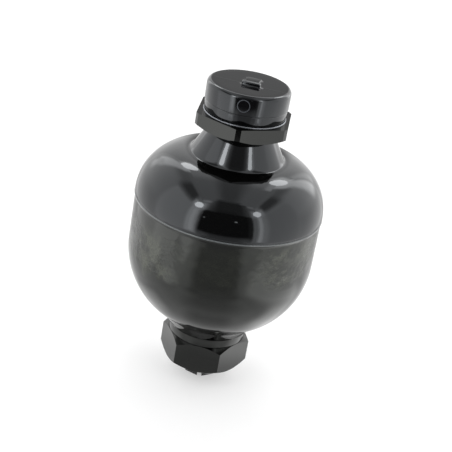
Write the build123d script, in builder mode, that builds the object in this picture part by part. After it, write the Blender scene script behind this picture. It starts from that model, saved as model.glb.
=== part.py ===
from build123d import *
import os
from math import cos, radians, sin, sqrt, tan

# Bladder accumulator of about 0.7 litre, standing on the plug in its oil port.
# Millimetres, +Z up along the axis. The origin is on the axis at the plug's lower face.

# ---- driving dimensions: pressure body ----------------------------------------------
body_d = 118.0  # outside of the upper half
wall = 8.5  # from that outside in to the cavity
joint_step = 0.4  # the lower half is smaller by this, all round
upper_h = 50.5  # joint to the gas neck's face
lower_h = 86.2  # joint to the oil neck's face
belly_h = 32.2  # joint to the end of the lower half's straight side
shoulder_turn_r = 32.0  # turn of the upper dome
dish_turn_r = 51.2  # turn of the lower dome
groove_w = 1.6  # groove round the joint
groove_d = 1.1
joint_edge = 0.4  # chamfer above the groove
skirt_edge = 0.9  # chamfer below it
shoulder_drop = 1.2  # that upper chamfer's end down to the middle of the dome's turn
gas_neck_base_r = 29.3  # cone of the gas neck, where it leaves the dome
gas_neck_face_r = 19.6
gas_neck_blend_r = 2.5
oil_neck_base_r = 32.5  # cone of the oil neck
oil_neck_face_r = 26.0
oil_neck_blend_r = 6.0
neck_edge = 0.8

# ---- driving dimensions: screwed joint of the two halves ----------------------------
spigot_t = 3.9
spigot_l = 21.2
body_seal_d = 2.3  # section of the joint's ring seal
body_backup_t = 1.4

# ---- driving dimensions: oil port ---------------------------------------------------
port_thread_r = 16.0
oil_bore_r = 19.2
oil_seat_r = 25.5  # flat seat inside the oil neck
port_nut_af = 50.0
port_nut_h = 19.2
port_nut_bevel_deg = 37.0
port_nut_turn = -6.2  # degrees
spacer_r = 24.9
spacer_h = 6.0
port_proud = 0.9  # the port body stands this far out of its nut
port_flange_in = 2.0  # flange's rim, in from the flat seat's
port_flange_t = 4.5
anti_ring_t = 3.0
anti_ring_in = 1.0
anti_collar_h = 2.0
anti_split_w = 1.0
port_seal_d = 3.1
port_backup_t = 1.8
line_thread_r = 9.5  # tapping bore of the G 1/2 line thread
line_thread_l = 16.0
chamber_r = 11.0
valve_seat_r = 15.0  # mouth of the 45 degree seat
bridge_t = 6.0
spring_room = 10.0  # bridge to the shut poppet
hub_r = 7.2
flow_hole_r = 1.6
flow_hole_count = 8

# ---- driving dimensions: poppet valve -----------------------------------------------
travel = 6.0
stem_r = 3.2
poppet_rim = 1.6
poppet_crown = 3.0
spring_coil_r = 5.6
spring_wire_d = 1.3
spring_turns = 4.5
bush_r = 6.4
bush_t = 3.0
brake_nut_af = 10.0
brake_nut_h = 5.0
stem_tail = 1.5

# ---- driving dimensions: port plug --------------------------------------------------
plug_af = 19.0
plug_head_h = 9.3
plug_flange_r = 13.5
plug_flange_t = 1.9
plug_thread_l = 10.0
plug_bore_r = 6.6
plug_floor = 6.5  # plug's lower face to the bottom of its bore
plug_slot_w = 3.0
plug_slot_d = 4.5
plug_turn = -86.0  # degrees, the corner that the slot cuts

# ---- driving dimensions: gas end ----------------------------------------------------
gas_stem_r = 14.0
gas_stem_h = 14.3  # above the gas neck's face
gas_flange_r = 21.0
gas_flange_t = 3.5
stem_washer_t = 1.2
gas_passage_r = 3.2
valve_pocket_l = 13.0
valve_shank_r = 7.0
valve_shank_l = 12.0
valve_hex_af = 17.0
valve_hex_h = 3.6
valve_nose_r = 3.9
valve_nose_h = 3.8
valve_seal_d = 1.8
lock_nut_af = 55.0
lock_nut_h = 9.0
lock_nut_corner_r = 31.0
lock_nut_bevel_deg = 30.0
lock_nut_turn = 27.0  # degrees
cap_recess_r = 24.4
cap_recess_d = 3.2

# ---- driving dimensions: gas valve insert -------------------------------------------
core_bore_r = 2.5
core_hole_r = 1.3
core_seat_depth = 6.8  # hex face down to the insert's seat
core_web = 2.4
core_chamber_r = 3.4
pin_r = 0.8
pin_press = 1.2  # how far the charging tool pushes the pin
pin_collar_r = 2.2
pin_collar_t = 0.8
pin_sunk = 0.9  # pin's tip below the nose
pin_spring_coil_r = 1.7
pin_spring_wire_d = 0.4
pin_spring_turns = 5.0
pin_disc_r = 2.5
pin_disc_t = 1.4
pin_foot_t = 0.8
seal_cap_r = 5.4
seal_cap_top = 1.0
seal_cap_knurl = 12

# ---- driving dimensions: protective cap ---------------------------------------------
cap_r = 25.5
cap_top_r = 23.4
cap_edge_h = 2.8
cap_h = 19.0  # above the lock nut's upper face
cap_line_h = 7.1  # lock nut's upper face to the line round the cap
cap_line_d = 0.35
cap_skirt_r = 24.8  # end of the slightly tapered side below the line
cap_skirt_h = 1.6  # that end above the lock nut's upper face
cap_foot_r = 23.0  # part that stands in the lock nut's recess
cap_wall = 2.6
cap_top_t = 2.8
cap_sleeve_t = 3.0
cap_mark_r = 3.6
cap_mark_w = 0.6
cap_mark_d = 0.5
cap_mark_h = 13.0  # above the lock nut's upper face
cap_mark_turn = -93.0  # degrees
lug_w = 10.8
lug_t = 3.2
lug_h = 2.2
lug_front = 5.4  # cap's axis to the lug's front face
lug_side = 1.3  # cap's axis to the middle of the lug's width
lug_gap = 4.6
pad_l = 8.6  # low pad for the thumb behind the lug
pad_front_h = 1.1
pad_back_h = 0.6
pad_edge = 0.9
lug_turn = -11.0  # degrees
lug_edge = 0.5

# ---- driving dimensions: bladder ----------------------------------------------------
bladder_r = 38.0
bladder_wall = 2.5
bladder_collar_t = 3.0
bladder_tail_r = 9.0
bladder_clear = 8.0  # above the open poppet

# ---- named clearances ---------------------------------------------------------------
thread_fit = 0.05  # between threads, drawn as plain cylinders
running_fit = 0.05  # radial, round the poppet's stem
ring_fit = 0.1  # round rings in their grooves
stop_gap = 0.2  # poppet and pin, short of their stops
end_gap = 0.3  # ends that don't bottom

# ---- heights and radii that follow --------------------------------------------------
port_end_z = plug_head_h + plug_flange_t
port_nut_z = port_end_z + port_proud
spacer_z = port_nut_z + port_nut_h
oil_face_z = spacer_z + spacer_h
joint_z = oil_face_z + lower_h
gas_face_z = joint_z + upper_h
lock_top_z = gas_face_z + lock_nut_h
recess_z = lock_top_z - cap_recess_d
gas_stem_z = gas_face_z + gas_stem_h
cap_top_z = lock_top_z + cap_h

body_r = body_d / 2
lower_r = body_r - joint_step
cavity_r = body_r - wall
groove_r = body_r - groove_d
spigot_r = cavity_r + spigot_t
skirt_r = spigot_r + thread_fit
body_seal_r = spigot_r - body_seal_d
body_seal_room = body_seal_d + body_backup_t + end_gap
spigot_z = joint_z - spigot_l
ledge_z = spigot_z - end_gap

shoulder_r = body_r - shoulder_turn_r
rim_z = joint_z + groove_w + joint_edge
shoulder_z = rim_z - shoulder_drop
rim_r = shoulder_r + sqrt(shoulder_turn_r**2 - shoulder_drop**2)
roof_z = shoulder_z + cavity_r - shoulder_r
gas_neck_base_z = shoulder_z + sqrt(shoulder_turn_r**2 - (gas_neck_base_r - shoulder_r) ** 2)
dish_r = lower_r - dish_turn_r
dish_z = joint_z - belly_h
oil_neck_base_z = dish_z - sqrt(dish_turn_r**2 - (oil_neck_base_r - dish_r) ** 2)
oil_seat_z = dish_z - sqrt((cavity_r - dish_r) ** 2 - (oil_seat_r - dish_r) ** 2)

port_flange_r = oil_seat_r - port_flange_in
anti_ring_r = oil_seat_r - anti_ring_in
port_flange_z = oil_seat_z + anti_ring_t
port_top_z = port_flange_z + port_flange_t
seat_foot_z = port_top_z - (valve_seat_r - chamber_r)
bridge_top_z = seat_foot_z - spring_room
bridge_z = bridge_top_z - bridge_t
port_seal_z = oil_seat_z - anti_collar_h - end_gap - port_seal_d / 2
port_backup_z = port_seal_z - port_seal_d / 2 - port_backup_t

poppet_z = seat_foot_z + travel + stop_gap
poppet_rim_z = poppet_z + valve_seat_r - chamber_r
poppet_top_z = poppet_rim_z + poppet_rim + poppet_crown
bush_z = bridge_z - stop_gap - bush_t
brake_nut_z = bush_z - brake_nut_h
stem_end_z = brake_nut_z - stem_tail

stem_washer_z = roof_z - stem_washer_t
gas_flange_z = stem_washer_z - gas_flange_t
stem_bore_r = gas_stem_r + ring_fit
valve_hex_z = gas_stem_z + valve_hex_h
valve_nose_z = valve_hex_z + valve_nose_h
core_seat_z = gas_stem_z - core_seat_depth
core_web_z = core_seat_z + core_web
pin_top_z = valve_nose_z - pin_sunk
pin_collar_z = pin_top_z - pin_collar_t - 2 * pin_press
pin_disc_z = core_seat_z - stop_gap - pin_disc_t
pin_foot_z = pin_disc_z - pin_foot_t

bladder_z = poppet_top_z + bladder_clear
bladder_rise = sqrt(1 - ((gas_flange_r - ring_fit) / bladder_r) ** 2)
bladder_b = (gas_flange_z - bladder_z) / (1 + bladder_rise)
bladder_mid_z = bladder_z + bladder_b

os.makedirs("parts", exist_ok=True)

# ---- upper half of the body: forged dome, gas neck and male spigot --------------------
with BuildPart() as upper_shell:
    with BuildSketch(Plane.XZ) as upper_section:
        with BuildLine():
            spigot_outside = Polyline(
                (spigot_r, joint_z),
                (groove_r, joint_z),
                (groove_r, joint_z + groove_w),
                (rim_r - joint_edge, joint_z + groove_w),
                (rim_r, rim_z),
            )
            TangentArc(
                spigot_outside @ 1,
                (gas_neck_base_r, gas_neck_base_z),
                tangent=(-shoulder_drop, rim_r - shoulder_r),
            )
            neck_outside = Polyline(
                (gas_neck_base_r, gas_neck_base_z),
                (gas_neck_face_r, gas_face_z),
                (stem_bore_r, gas_face_z),
                (stem_bore_r, roof_z),
                (shoulder_r, roof_z),
            )
            TangentArc(neck_outside @ 1, (cavity_r, shoulder_z), tangent=(1, 0))
            Polyline(
                (cavity_r, shoulder_z),
                (cavity_r, spigot_z),
                (body_seal_r, spigot_z),
                (body_seal_r, spigot_z + body_seal_room),
                (spigot_r, spigot_z + body_seal_room),
                (spigot_r, joint_z),
            )
        make_face()
        neck_root = upper_section.vertices().sort_by_distance((gas_neck_base_r, gas_neck_base_z))[0]
        fillet(neck_root, gas_neck_blend_r)
        neck_lip = upper_section.vertices().sort_by_distance((gas_neck_face_r, gas_face_z))[0]
        chamfer(neck_lip, neck_edge)
    revolve(axis=Axis.Z)
upper_shell.part.label = "upper_shell"
export_step(upper_shell.part, "parts/upper_shell.step")

# ---- lower half of the body: female skirt, deep dish and oil neck ---------------------
with BuildPart() as lower_shell:
    with BuildSketch(Plane.XZ) as lower_section:
        with BuildLine():
            skirt_outside = Polyline(
                (skirt_r, joint_z),
                (lower_r - skirt_edge, joint_z),
                (lower_r, joint_z - skirt_edge),
                (lower_r, dish_z),
            )
            TangentArc(skirt_outside @ 1, (oil_neck_base_r, oil_neck_base_z), tangent=(0, -1))
            Polyline(
                (oil_neck_base_r, oil_neck_base_z),
                (oil_neck_face_r, oil_face_z),
                (oil_bore_r, oil_face_z),
                (oil_bore_r, oil_seat_z),
                (oil_seat_r, oil_seat_z),
            )
            dish_inside = TangentArc((cavity_r, dish_z), (oil_seat_r, oil_seat_z), tangent=(0, -1))
            Polyline((cavity_r, dish_z), (cavity_r, ledge_z), (skirt_r, ledge_z), (skirt_r, joint_z))
        make_face()
        neck_root = lower_section.vertices().sort_by_distance((oil_neck_base_r, oil_neck_base_z))[0]
        fillet(neck_root, oil_neck_blend_r)
        neck_lip = lower_section.vertices().sort_by_distance((oil_neck_face_r, oil_face_z))[0]
        chamfer(neck_lip, neck_edge)
    revolve(axis=Axis.Z)
lower_shell.part.label = "lower_shell"
export_step(lower_shell.part, "parts/lower_shell.step")

# ---- seals of the screwed joint: ring seal on the ledge, back-up ring above it --------
with BuildPart() as body_o_ring:
    with BuildSketch(Plane.XZ):
        with Locations(((body_seal_r + skirt_r) / 2, ledge_z + body_seal_d / 2)):
            Circle(body_seal_d / 2)
    revolve(axis=Axis.Z)
body_o_ring.part.label = "body_o_ring"
export_step(body_o_ring.part, "parts/body_o_ring.step")

with BuildPart() as body_backup_ring:
    with BuildSketch(Plane.XZ):
        with Locations(((body_seal_r + skirt_r) / 2, ledge_z + body_seal_d)):
            Rectangle(
                skirt_r - body_seal_r - 2 * ring_fit, body_backup_t, align=(Align.CENTER, Align.MIN)
            )
    revolve(axis=Axis.Z)
body_backup_ring.part.label = "body_backup_ring"
export_step(body_backup_ring.part, "parts/body_backup_ring.step")

# ---- oil port body: flange with the valve seat, drilled bridge and line thread --------
with BuildPart() as port_body:
    with BuildSketch(Plane.XZ):
        with BuildLine():
            Polyline(
                (line_thread_r, port_end_z),
                (port_thread_r, port_end_z),
                (port_thread_r, port_flange_z),
                (port_flange_r, port_flange_z),
                (port_flange_r, port_top_z),
                (valve_seat_r, port_top_z),
                (chamber_r, seat_foot_z),
                (chamber_r, bridge_top_z),
                (stem_r + running_fit, bridge_top_z),
                (stem_r + running_fit, bridge_z),
                (chamber_r, bridge_z),
                (chamber_r, port_end_z + line_thread_l),
                (line_thread_r, port_end_z + line_thread_l),
                close=True,
            )
        make_face()
    revolve(axis=Axis.Z)
    with BuildSketch(Plane.XY.offset(bridge_z)):
        with PolarLocations((hub_r + chamber_r) / 2, flow_hole_count):
            Circle(flow_hole_r)
    extrude(amount=bridge_t, mode=Mode.SUBTRACT)
    flange_rims = port_body.edges().filter_by(GeomType.CIRCLE).filter_by(
        lambda e: abs(e.radius - port_flange_r) < thread_fit
    )
    chamfer(flange_rims, neck_edge)
port_body.part.label = "port_body"
export_step(port_body.part, "parts/port_body.step")

# ---- anti-extrusion ring: split L-section ring under the port body's flange -----------
with BuildPart() as anti_extrusion_ring:
    with BuildSketch(Plane.XZ):
        with BuildLine():
            Polyline(
                (port_thread_r + ring_fit, oil_seat_z - anti_collar_h),
                (oil_bore_r - ring_fit, oil_seat_z - anti_collar_h),
                (oil_bore_r - ring_fit, oil_seat_z),
                (anti_ring_r, oil_seat_z),
                (anti_ring_r, port_flange_z),
                (port_thread_r + ring_fit, port_flange_z),
                close=True,
            )
        make_face()
    revolve(axis=Axis.Z)
    with BuildSketch(Plane.XY.offset(oil_seat_z - anti_collar_h)):
        with Locations((anti_ring_r, 0)):
            Rectangle(anti_ring_r, anti_split_w)
    extrude(amount=anti_collar_h + anti_ring_t, mode=Mode.SUBTRACT)
anti_extrusion_ring.part.label = "anti_extrusion_ring"
export_step(anti_extrusion_ring.part, "parts/anti_extrusion_ring.step")

# ---- seals in the oil bore: ring seal, then back-up ring ------------------------------
with BuildPart() as port_o_ring:
    with BuildSketch(Plane.XZ):
        with Locations(((port_thread_r + oil_bore_r) / 2, port_seal_z)):
            Circle(port_seal_d / 2)
    revolve(axis=Axis.Z)
port_o_ring.part.label = "port_o_ring"
export_step(port_o_ring.part, "parts/port_o_ring.step")

with BuildPart() as port_backup_ring:
    with BuildSketch(Plane.XZ):
        with Locations(((port_thread_r + oil_bore_r) / 2, port_backup_z)):
            Rectangle(
                oil_bore_r - port_thread_r - 2 * ring_fit,
                port_backup_t,
                align=(Align.CENTER, Align.MIN),
            )
    revolve(axis=Axis.Z)
port_backup_ring.part.label = "port_backup_ring"
export_step(port_backup_ring.part, "parts/port_backup_ring.step")

# ---- spacer ring: collar between neck and nut, with a nose that holds the seals up ----
with BuildPart() as port_spacer:
    with BuildSketch(Plane.XZ) as spacer_section:
        with BuildLine():
            Polyline(
                (port_thread_r + ring_fit, spacer_z),
                (spacer_r, spacer_z),
                (spacer_r, oil_face_z),
                (oil_bore_r - ring_fit, oil_face_z),
                (oil_bore_r - ring_fit, port_backup_z),
                (port_thread_r + ring_fit, port_backup_z),
                close=True,
            )
        make_face()
        chamfer(spacer_section.vertices().group_by(Axis.X)[-1], joint_edge)
    revolve(axis=Axis.Z)
port_spacer.part.label = "port_spacer"
export_step(port_spacer.part, "parts/port_spacer.step")

# ---- port nut: hexagon bevelled at both ends ------------------------------------------
with BuildPart() as port_nut:
    with BuildSketch(Plane.XY.offset(port_nut_z)):
        RegularPolygon(port_nut_af / 2, 6, major_radius=False, rotation=port_nut_turn)
        Circle(port_thread_r + thread_fit, mode=Mode.SUBTRACT)
    extrude(amount=port_nut_h)
    with BuildSketch(Plane.XZ):
        with BuildLine():
            corner_r = port_nut_af / 2 / cos(radians(30))
            bevel_h = (corner_r - port_nut_af / 2) * tan(radians(port_nut_bevel_deg))
            Polyline(
                (0, port_nut_z),
                (port_nut_af / 2, port_nut_z),
                (corner_r, port_nut_z + bevel_h),
                (corner_r, spacer_z - bevel_h),
                (port_nut_af / 2, spacer_z),
                (0, spacer_z),
                close=True,
            )
        make_face()
    revolve(axis=Axis.Z, mode=Mode.INTERSECT)
port_nut.part.label = "port_nut"
export_step(port_nut.part, "parts/port_nut.step")

# ---- poppet: mushroom head with a 45 degree face, and its stem ------------------------
with BuildPart() as poppet:
    with BuildSketch(Plane.XZ):
        with BuildLine():
            face_shift = stop_gap / sqrt(2)
            Polyline(
                (0, stem_end_z),
                (stem_r, stem_end_z),
                (stem_r, poppet_z),
                (chamber_r - face_shift, poppet_z),
                (valve_seat_r - face_shift, poppet_rim_z),
                (valve_seat_r - face_shift, poppet_rim_z + poppet_rim),
            )
            crown_edge = (valve_seat_r - face_shift, poppet_rim_z + poppet_rim)
            TangentArc((0, poppet_top_z), crown_edge, tangent=(1, 0))
            Line((0, poppet_top_z), (0, stem_end_z))
        make_face()
    revolve(axis=Axis.Z)
poppet.part.label = "poppet"
export_step(poppet.part, "parts/poppet.step")

# ---- poppet spring: open coil between the bridge and the poppet's head ----------------
with BuildPart() as poppet_spring:
    spring_l = poppet_z - bridge_top_z - spring_wire_d
    with BuildLine():
        coil = Helix(
            spring_l / spring_turns,
            spring_l,
            spring_coil_r,
            center=(0, 0, bridge_top_z + spring_wire_d / 2),
        )
    with BuildSketch(Plane(origin=coil @ 0, z_dir=coil % 0)):
        Circle(spring_wire_d / 2)
    sweep()
poppet_spring.part.label = "poppet_spring"
export_step(poppet_spring.part, "parts/poppet_spring.step")

# ---- damping bush and brake nut on the stem's lower end -------------------------------
with BuildPart() as damping_bush:
    with BuildSketch(Plane.XZ):
        with Locations((stem_r + thread_fit, bush_z)):
            Rectangle(bush_r - stem_r - thread_fit, bush_t, align=Align.MIN)
    revolve(axis=Axis.Z)
damping_bush.part.label = "damping_bush"
export_step(damping_bush.part, "parts/damping_bush.step")

with BuildPart() as brake_nut:
    with BuildSketch(Plane.XY.offset(brake_nut_z)):
        RegularPolygon(brake_nut_af / 2, 6, major_radius=False)
        Circle(stem_r + thread_fit, mode=Mode.SUBTRACT)
    extrude(amount=brake_nut_h)
    with BuildSketch(Plane.XZ):
        with BuildLine():
            corner_r = brake_nut_af / 2 / cos(radians(30))
            bevel_h = (corner_r - brake_nut_af / 2) * tan(radians(lock_nut_bevel_deg))
            Polyline(
                (0, brake_nut_z),
                (brake_nut_af / 2, brake_nut_z),
                (corner_r, brake_nut_z + bevel_h),
                (corner_r, bush_z),
                (0, bush_z),
                close=True,
            )
        make_face()
    revolve(axis=Axis.Z, mode=Mode.INTERSECT)
brake_nut.part.label = "brake_nut"
export_step(brake_nut.part, "parts/brake_nut.step")

# ---- port plug: moulded screw plug with a slotted hexagon -----------------------------
with BuildPart() as port_plug:
    with BuildSketch():
        RegularPolygon(plug_af / 2, 6, major_radius=False, rotation=plug_turn)
    extrude(amount=plug_head_h)
    with BuildSketch(Plane.XZ):
        with BuildLine():
            thread_top = port_end_z + plug_thread_l
            Polyline(
                (0, plug_head_h),
                (plug_flange_r, plug_head_h),
                (plug_flange_r, port_end_z),
                (line_thread_r - thread_fit, port_end_z),
                (line_thread_r - thread_fit, thread_top - neck_edge),
                (line_thread_r - thread_fit - neck_edge, thread_top),
                (0, thread_top),
                close=True,
            )
        make_face()
    revolve(axis=Axis.Z)
    with BuildSketch(Plane.XY.offset(plug_floor)):
        Circle(plug_bore_r)
    extrude(amount=thread_top - plug_floor, mode=Mode.SUBTRACT)
    with BuildSketch():
        Rectangle(2 * plug_flange_r, plug_slot_w, rotation=plug_turn)
    extrude(amount=plug_slot_d, mode=Mode.SUBTRACT)
port_plug.part.label = "port_plug"
export_step(port_plug.part, "parts/port_plug.step")

# ---- gas stem: flange in the bladder's top, threaded shank through the gas neck --------
with BuildPart() as gas_stem:
    with BuildSketch(Plane.XZ):
        with BuildLine():
            tail_z = gas_flange_z - bladder_collar_t
            pocket_z = gas_stem_z - valve_pocket_l
            seal_r = valve_shank_r + thread_fit + valve_seal_d
            Polyline(
                (gas_passage_r, tail_z),
                (bladder_tail_r, tail_z),
                (bladder_tail_r, gas_flange_z),
                (gas_flange_r, gas_flange_z),
                (gas_flange_r, stem_washer_z),
                (gas_stem_r, stem_washer_z),
                (gas_stem_r, gas_stem_z),
                (seal_r, gas_stem_z),
                (valve_shank_r + thread_fit, gas_stem_z - valve_seal_d),
                (valve_shank_r + thread_fit, pocket_z),
                (gas_passage_r, pocket_z),
                close=True,
            )
        make_face()
    revolve(axis=Axis.Z)
gas_stem.part.label = "gas_stem"
export_step(gas_stem.part, "parts/gas_stem.step")

with BuildPart() as stem_washer:
    with BuildSketch(Plane.XZ):
        with Locations((stem_bore_r, stem_washer_z)):
            Rectangle(gas_flange_r - stem_bore_r, stem_washer_t, align=Align.MIN)
    revolve(axis=Axis.Z)
stem_washer.part.label = "stem_washer"
export_step(stem_washer.part, "parts/stem_washer.step")

# ---- bladder: hollow rubber bag, slack, bonded under the stem's flange -----------------
with BuildPart() as bladder:
    with BuildSketch(Plane.XZ):
        with Locations((0, bladder_mid_z)):
            Ellipse(bladder_r, bladder_b)
            Ellipse(bladder_r - bladder_wall, bladder_b - bladder_wall, mode=Mode.SUBTRACT)
        with Locations((0, gas_flange_z)):
            Rectangle(
                2 * (gas_flange_r - ring_fit),
                bladder_collar_t,
                align=(Align.CENTER, Align.MAX),
            )
            Rectangle(
                2 * (bladder_tail_r + thread_fit),
                bladder_collar_t,
                align=(Align.CENTER, Align.MAX),
                mode=Mode.SUBTRACT,
            )
            Rectangle(
                2 * bladder_r,
                2 * bladder_b,
                align=(Align.CENTER, Align.MIN),
                mode=Mode.SUBTRACT,
            )
        with Locations((0, bladder_mid_z)):
            Rectangle(
                2 * bladder_r,
                4 * bladder_b,
                align=(Align.MAX, Align.CENTER),
                mode=Mode.SUBTRACT,
            )
    revolve(axis=Axis.Z)
bladder.part.label = "bladder"
export_step(bladder.part, "parts/bladder.step")

# ---- lock nut: thin hexagon on the gas stem, recessed for the cap's foot --------------
with BuildPart() as lock_nut:
    with BuildSketch(Plane.XY.offset(gas_face_z)):
        RegularPolygon(lock_nut_af / 2, 6, major_radius=False, rotation=lock_nut_turn)
        Circle(gas_stem_r + thread_fit, mode=Mode.SUBTRACT)
    extrude(amount=lock_nut_h)
    with BuildSketch(Plane.XZ):
        with BuildLine():
            bevel_h = (lock_nut_corner_r - lock_nut_af / 2) * tan(radians(lock_nut_bevel_deg))
            Polyline(
                (0, gas_face_z),
                (lock_nut_af / 2, gas_face_z),
                (lock_nut_corner_r, gas_face_z + bevel_h),
                (lock_nut_corner_r, lock_top_z),
                (0, lock_top_z),
                close=True,
            )
        make_face()
    revolve(axis=Axis.Z, mode=Mode.INTERSECT)
    with BuildSketch(Plane.XZ):
        with BuildLine():
            Polyline(
                (0, recess_z),
                (cap_recess_r, recess_z),
                (cap_recess_r, lock_top_z - joint_edge),
                (cap_recess_r + joint_edge, lock_top_z),
                (0, lock_top_z),
                close=True,
            )
        make_face()
    revolve(axis=Axis.Z, mode=Mode.SUBTRACT)
lock_nut.part.label = "lock_nut"
export_step(lock_nut.part, "parts/lock_nut.step")

# ---- gas valve insert: brass, screwed into the stem, with its seal ---------------------
with BuildPart() as gas_valve_body:
    with BuildSketch(Plane.XZ):
        with BuildLine():
            shank_z = gas_stem_z - valve_shank_l
            Polyline(
                (core_chamber_r, shank_z),
                (valve_shank_r, shank_z),
                (valve_shank_r, gas_stem_z),
                (valve_nose_r, gas_stem_z),
                (valve_nose_r, valve_nose_z),
                (core_bore_r, valve_nose_z),
                (core_bore_r, core_web_z),
                (core_hole_r, core_web_z),
                (core_hole_r, core_seat_z),
                (core_chamber_r, core_seat_z),
                close=True,
            )
        make_face()
    revolve(axis=Axis.Z)
    with BuildSketch(Plane.XY.offset(gas_stem_z)):
        RegularPolygon(valve_hex_af / 2, 6, major_radius=False)
        Circle(valve_nose_r, mode=Mode.SUBTRACT)
    extrude(amount=valve_hex_h)
gas_valve_body.part.label = "gas_valve_body"
export_step(gas_valve_body.part, "parts/gas_valve_body.step")

with BuildPart() as gas_valve_o_ring:
    with BuildSketch(Plane.XZ):
        # the largest circle in the corner between shank, hexagon and the stem's bevel
        corner_r = valve_seal_d * (1 - 1 / sqrt(2))
        with Locations((valve_shank_r + thread_fit + corner_r, gas_stem_z - corner_r)):
            Circle(corner_r - thread_fit)
    revolve(axis=Axis.Z)
gas_valve_o_ring.part.label = "gas_valve_o_ring"
export_step(gas_valve_o_ring.part, "parts/gas_valve_o_ring.step")

# ---- valve pin: slides in the insert, with a rubber disc on its foot and a spring ------
with BuildPart() as valve_pin:
    with BuildSketch(Plane.XZ):
        with BuildLine():
            Polyline(
                (0, pin_foot_z),
                (pin_disc_r, pin_foot_z),
                (pin_disc_r, pin_disc_z),
                (pin_r, pin_disc_z),
                (pin_r, pin_collar_z),
                (pin_collar_r, pin_collar_z),
                (pin_collar_r, pin_collar_z + pin_collar_t),
                (pin_r, pin_collar_z + pin_collar_t),
                (pin_r, pin_top_z),
                (0, pin_top_z),
                close=True,
            )
        make_face()
    revolve(axis=Axis.Z)
valve_pin.part.label = "valve_pin"
export_step(valve_pin.part, "parts/valve_pin.step")

with BuildPart() as valve_pin_seal:
    with BuildSketch(Plane.XZ):
        with Locations((pin_r, pin_disc_z)):
            Rectangle(pin_disc_r - pin_r, pin_disc_t, align=Align.MIN)
    revolve(axis=Axis.Z)
valve_pin_seal.part.label = "valve_pin_seal"
export_step(valve_pin_seal.part, "parts/valve_pin_seal.step")

with BuildPart() as valve_pin_spring:
    pin_spring_l = pin_collar_z - core_web_z - pin_spring_wire_d
    with BuildLine():
        pin_coil = Helix(
            pin_spring_l / pin_spring_turns,
            pin_spring_l,
            pin_spring_coil_r,
            center=(0, 0, core_web_z + pin_spring_wire_d / 2),
        )
    with BuildSketch(Plane(origin=pin_coil @ 0, z_dir=pin_coil % 0)):
        Circle(pin_spring_wire_d / 2)
    sweep()
valve_pin_spring.part.label = "valve_pin_spring"
export_step(valve_pin_spring.part, "parts/valve_pin_spring.step")

# ---- seal cap: small brass cap screwed over the insert's nose --------------------------
with BuildPart() as valve_seal_cap:
    with BuildSketch(Plane.XY.offset(valve_hex_z)):
        Circle(seal_cap_r)
        with PolarLocations(seal_cap_r, seal_cap_knurl):
            Circle(joint_edge, mode=Mode.SUBTRACT)
        Circle(valve_nose_r + thread_fit, mode=Mode.SUBTRACT)
    extrude(amount=valve_nose_h + end_gap)
    with BuildSketch(Plane.XY.offset(valve_nose_z + end_gap)):
        Circle(seal_cap_r)
        with PolarLocations(seal_cap_r, seal_cap_knurl):
            Circle(joint_edge, mode=Mode.SUBTRACT)
    extrude(amount=seal_cap_top)
valve_seal_cap.part.label = "valve_seal_cap"
export_step(valve_seal_cap.part, "parts/valve_seal_cap.step")

# ---- protective cap: moulded cup on the stem's thread, with a grip lug on top ----------
with BuildPart() as protective_cap:
    line_z = lock_top_z + cap_line_h
    skirt_z = lock_top_z + cap_skirt_h
    foot_z = recess_z + end_gap
    ceiling_z = cap_top_z - cap_top_t
    sleeve_r = gas_stem_r + thread_fit
    with BuildSketch(Plane.XZ):
        with BuildLine():
            foot = Polyline(
                (cap_foot_r - cap_wall, foot_z),
                (cap_foot_r, foot_z),
                (cap_foot_r, lock_top_z),
            )
            side = Polyline(
                (cap_skirt_r, skirt_z),
                (cap_r - cap_line_d, line_z),
                (cap_r, line_z),
                (cap_r, cap_top_z - cap_edge_h),
            )
            TangentArc(side @ 0, foot @ 1, tangent=-(side % 0))
            TangentArc(side @ 1, (cap_top_r, cap_top_z), tangent=(0, 1))
            Polyline(
                (cap_top_r, cap_top_z),
                (0, cap_top_z),
                (0, ceiling_z),
                (sleeve_r, ceiling_z),
                (sleeve_r, foot_z),
                (sleeve_r + cap_sleeve_t, foot_z),
                (sleeve_r + cap_sleeve_t, ceiling_z),
                (cap_r - cap_wall, ceiling_z),
                (cap_r - cap_wall, line_z),
                (cap_skirt_r - cap_wall, skirt_z),
                (cap_foot_r - cap_wall, lock_top_z),
                (cap_foot_r - cap_wall, foot_z),
            )
        make_face()
    revolve(axis=Axis.Z)
    mark_x = cap_r * cos(radians(cap_mark_turn))
    mark_y = cap_r * sin(radians(cap_mark_turn))
    mark_plane = Plane(
        origin=(mark_x, mark_y, lock_top_z + cap_mark_h),
        x_dir=(-mark_y, mark_x, 0),
        z_dir=(mark_x, mark_y, 0),
    )
    with BuildSketch(mark_plane):
        Circle(cap_mark_r)
        Circle(cap_mark_r - cap_mark_w, mode=Mode.SUBTRACT)
    extrude(amount=-cap_mark_d, mode=Mode.SUBTRACT)
    top_plane = Plane.XY.offset(cap_top_z).rotated((0, 0, lug_turn))
    with BuildSketch(top_plane):
        with Locations((lug_side, lug_t / 2 - lug_front)):
            Rectangle(lug_w, lug_t)
    extrude(amount=lug_h)
    lug_top = protective_cap.faces().sort_by(Axis.Z)[-1]
    fillet(lug_top.edges(), lug_edge)
    side_plane = Plane(
        origin=top_plane.from_local_coords((lug_side - lug_w / 2, 0, 0)),
        x_dir=top_plane.y_dir,
        z_dir=top_plane.x_dir,
    )
    pad_y = lug_t - lug_front + lug_gap
    with BuildSketch(side_plane):
        with BuildLine():
            Polyline(
                (pad_y, 0),
                (pad_y + pad_l, 0),
                (pad_y + pad_l, pad_back_h),
                (pad_y, pad_front_h),
                close=True,
            )
        make_face()
        crest = vertices().sort_by(Axis.Y)[-1]
        fillet(crest, pad_edge)
    extrude(amount=lug_w)
protective_cap.part.label = "protective_cap"
export_step(protective_cap.part, "parts/protective_cap.step")
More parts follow.
